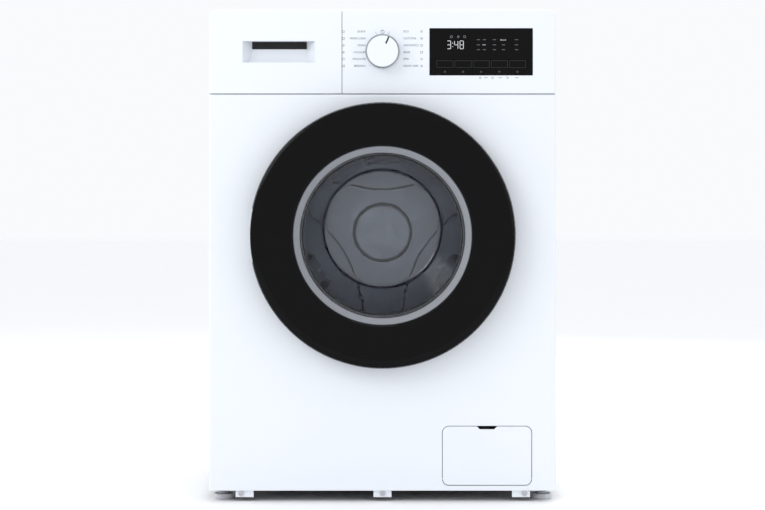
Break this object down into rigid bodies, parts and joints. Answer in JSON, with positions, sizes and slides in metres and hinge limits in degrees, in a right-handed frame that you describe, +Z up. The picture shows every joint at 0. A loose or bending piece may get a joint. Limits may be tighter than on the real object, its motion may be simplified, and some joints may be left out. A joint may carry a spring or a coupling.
{
  "type": "front load washing machine",
  "caption": "White front load washing machine with a large dark porthole door, program knob, display, detergent drawer and drain filter door.",
  "frame": {"origin": "middle of the footprint, on the floor the feet stand on", "axes": "+X right when facing the door, +Y from the door to the wall, +Z up"},
  "size_m": [0.6, 0.61, 0.85],
  "materials": {
    "white_paint": "smooth gloss enamel",
    "white_plastic": "satin moulding",
    "worktop_board": "chipboard under white laminate",
    "black_gloss": "piano black",
    "chrome": "polished",
    "frosted_ring": "frosted grey",
    "dark_glass": "clear",
    "galvanised": "zinc grey",
    "drum_steel": "brushed stainless",
    "aluminium": "cast, satin",
    "grey_plastic": "fibre filled moulding",
    "light_plastic": "satin moulding",
    "black_plastic": "satin moulding",
    "grey_rubber": "matt",
    "black_rubber": "matt",
    "concrete": "rough cast",
    "steel": "plain steel",
    "board_green": "circuit board"
  },
  "bodies": {
    "cabinet": {"base_frame": "grey_plastic", "side_panel_left": "white_paint", "side_panel_right": "white_paint", "rear_panel": "galvanised", "rear_service_cover": "galvanised", "front_panel": "white_paint", "top_cover": "worktop_board", "top_rails": "galvanised", "control_panel": "white_plastic", "display_window": "black_gloss", "control_board": "board_green", "dispenser_housing": "light_plastic", "inlet_valve": "light_plastic", "water_hoses": "grey_plastic", "tub_hoses": "black_rubber", "foot_lock_nuts": "black_plastic", "case_screws": "steel", "rear_plugs": "light_plastic", "drain_pump": "light_plastic", "suspension_springs": "steel", "door_gasket": "grey_rubber", "hinge_bracket": "steel", "door_lock": "black_plastic"},
    "knob": {"program_knob": "white_plastic"},
    "drawer": {"drawer_front": "white_plastic", "drawer_tray": "light_plastic"},
    "foot_fl": {"foot_front_left": "light_plastic"},
    "foot_fr": {"foot_front_right": "light_plastic"},
    "foot_rl": {"foot_rear_left": "light_plastic"},
    "foot_rr": {"foot_rear_right": "light_plastic"},
    "service_door": {"filter_door": "white_plastic"},
    "filter_cap": {"drain_filter": "light_plastic"},
    "damper_left_lower": {"damper_cylinder_left": "black_plastic"},
    "damper_right_lower": {"damper_cylinder_right": "black_plastic"},
    "damper_left_upper": {"damper_rod_left": "black_plastic"},
    "damper_right_upper": {"damper_rod_right": "black_plastic"},
    "tub": {"tub_front": "grey_plastic", "tub_rear": "grey_plastic", "heater_element": "steel", "counterweights": "concrete", "drum_bearings": "steel", "drive_belt": "black_rubber", "motor_body": "aluminium"},
    "motor_rotor": {"motor_pulley": "steel"},
    "drum": {"drum_shell": "drum_steel", "drum_back": "drum_steel", "drum_lifters": "drum_steel", "drum_spider": "aluminium", "drum_pulley": "aluminium"},
    "door": {"door_outer_ring": "black_gloss", "door_trim_ring": "chrome", "window_bezel": "frosted_ring", "door_glass": "dark_glass", "door_inner_frame": "light_plastic"},
    "latch": {"latch_hook": "steel"},
    "button_1": {"key_1": "black_gloss"},
    "button_2": {"key_2": "black_gloss"},
    "button_3": {"key_3": "black_gloss"},
    "button_4": {"key_4": "black_gloss"},
    "button_5": {"key_5": "black_gloss"}
  },
  "joints": [
    {"name": "door_swing", "type": "hinge", "parent": "cabinet", "child": "door", "pos_m": [-0.216, -0.285, 0.46], "axis": [0, 0, -1], "range_deg": [0, 150]},
    {"name": "latch_hook", "type": "hinge", "parent": "door", "child": "latch", "pos_m": [0.196, -0.277, 0.46], "axis": [0, 0, 1], "range_deg": [0, 6], "stiffness_Nm_per_rad": 0.3, "springref_deg": -5.73},
    {"name": "drawer_slide", "type": "slide", "parent": "cabinet", "child": "drawer", "axis": [0, -1, 0], "range_m": [0, 0.21]},
    {"name": "knob_turn", "type": "hinge", "parent": "cabinet", "child": "knob", "pos_m": [0, -0.265, 0.777], "axis": [0, 1, 0], "continuous": true},
    {"name": "service_door_tilt", "type": "hinge", "parent": "cabinet", "child": "service_door", "pos_m": [0.1806, -0.261, 0.0395], "axis": [1, 0, 0], "range_deg": [0, 90]},
    {"name": "filter_turn", "type": "hinge", "parent": "cabinet", "child": "filter_cap", "pos_m": [0.1806, -0.225, 0.0792], "axis": [0, -1, 0], "range_deg": [0, 90]},
    {"name": "tub_float", "type": "slide", "parent": "cabinet", "child": "tub", "axis": [0, 0, 1], "range_m": [-0.006, 0.006], "stiffness_N_per_m": 20000, "springref_m": 0.02037, "deforming": ["suspension_springs", "door_gasket", "tub_hoses"]},
    {"name": "drum_spin", "type": "hinge", "parent": "tub", "child": "drum", "pos_m": [0, 0.035, 0.46], "axis": [0, 1, 0], "continuous": true},
    {"name": "motor_spin", "type": "hinge", "parent": "tub", "child": "motor_rotor", "pos_m": [-0.03, 0.235, 0.14], "axis": [0, 1, 0], "continuous": true},
    {"name": "damper_left_foot", "type": "hinge", "parent": "cabinet", "child": "damper_left_lower", "pos_m": [-0.205, 0.055, 0.062], "axis": [0, -1, 0], "range_deg": [-0.63, 0.63]},
    {"name": "damper_left_head", "type": "hinge", "parent": "tub", "child": "damper_left_upper", "pos_m": [-0.15, 0.055, 0.228], "axis": [0, -1, 0], "range_deg": [-0.63, 0.63]},
    {"name": "damper_right_foot", "type": "hinge", "parent": "cabinet", "child": "damper_right_lower", "pos_m": [0.205, 0.055, 0.062], "axis": [0, 1, 0], "range_deg": [-0.63, 0.63]},
    {"name": "damper_right_head", "type": "hinge", "parent": "tub", "child": "damper_right_upper", "pos_m": [0.15, 0.055, 0.228], "axis": [0, 1, 0], "range_deg": [-0.63, 0.63]},
    {"name": "press_1", "type": "slide", "parent": "cabinet", "child": "button_1", "axis": [0, 1, 0], "range_m": [0, 0.0012], "stiffness_N_per_m": 600, "springref_m": -0.002},
    {"name": "press_2", "type": "slide", "parent": "cabinet", "child": "button_2", "axis": [0, 1, 0], "range_m": [0, 0.0012], "stiffness_N_per_m": 600, "springref_m": -0.002},
    {"name": "press_3", "type": "slide", "parent": "cabinet", "child": "button_3", "axis": [0, 1, 0], "range_m": [0, 0.0012], "stiffness_N_per_m": 600, "springref_m": -0.002},
    {"name": "press_4", "type": "slide", "parent": "cabinet", "child": "button_4", "axis": [0, 1, 0], "range_m": [0, 0.0012], "stiffness_N_per_m": 600, "springref_m": -0.002},
    {"name": "press_5", "type": "slide", "parent": "cabinet", "child": "button_5", "axis": [0, 1, 0], "range_m": [0, 0.0012], "stiffness_N_per_m": 600, "springref_m": -0.002},
    {"name": "level_fl", "type": "slide", "parent": "cabinet", "child": "foot_fl", "axis": [0, 0, -1], "range_m": [0, 0.012]},
    {"name": "level_fr", "type": "slide", "parent": "cabinet", "child": "foot_fr", "axis": [0, 0, -1], "range_m": [0, 0.012]},
    {"name": "level_rl", "type": "slide", "parent": "cabinet", "child": "foot_rl", "axis": [0, 0, -1], "range_m": [0, 0.012]},
    {"name": "level_rr", "type": "slide", "parent": "cabinet", "child": "foot_rr", "axis": [0, 0, -1], "range_m": [0, 0.012]}
  ],
  "couplings": [
    {"joint": "motor_spin", "follows": "drum_spin", "ratio": 13.301},
    {"joint": "damper_left_foot", "follows": "tub_float", "rad_per_m": 1.7985},
    {"joint": "damper_left_head", "follows": "tub_float", "rad_per_m": 1.7985},
    {"joint": "damper_right_foot", "follows": "tub_float", "rad_per_m": 1.7985},
    {"joint": "damper_right_head", "follows": "tub_float", "rad_per_m": 1.7985}
  ]
}
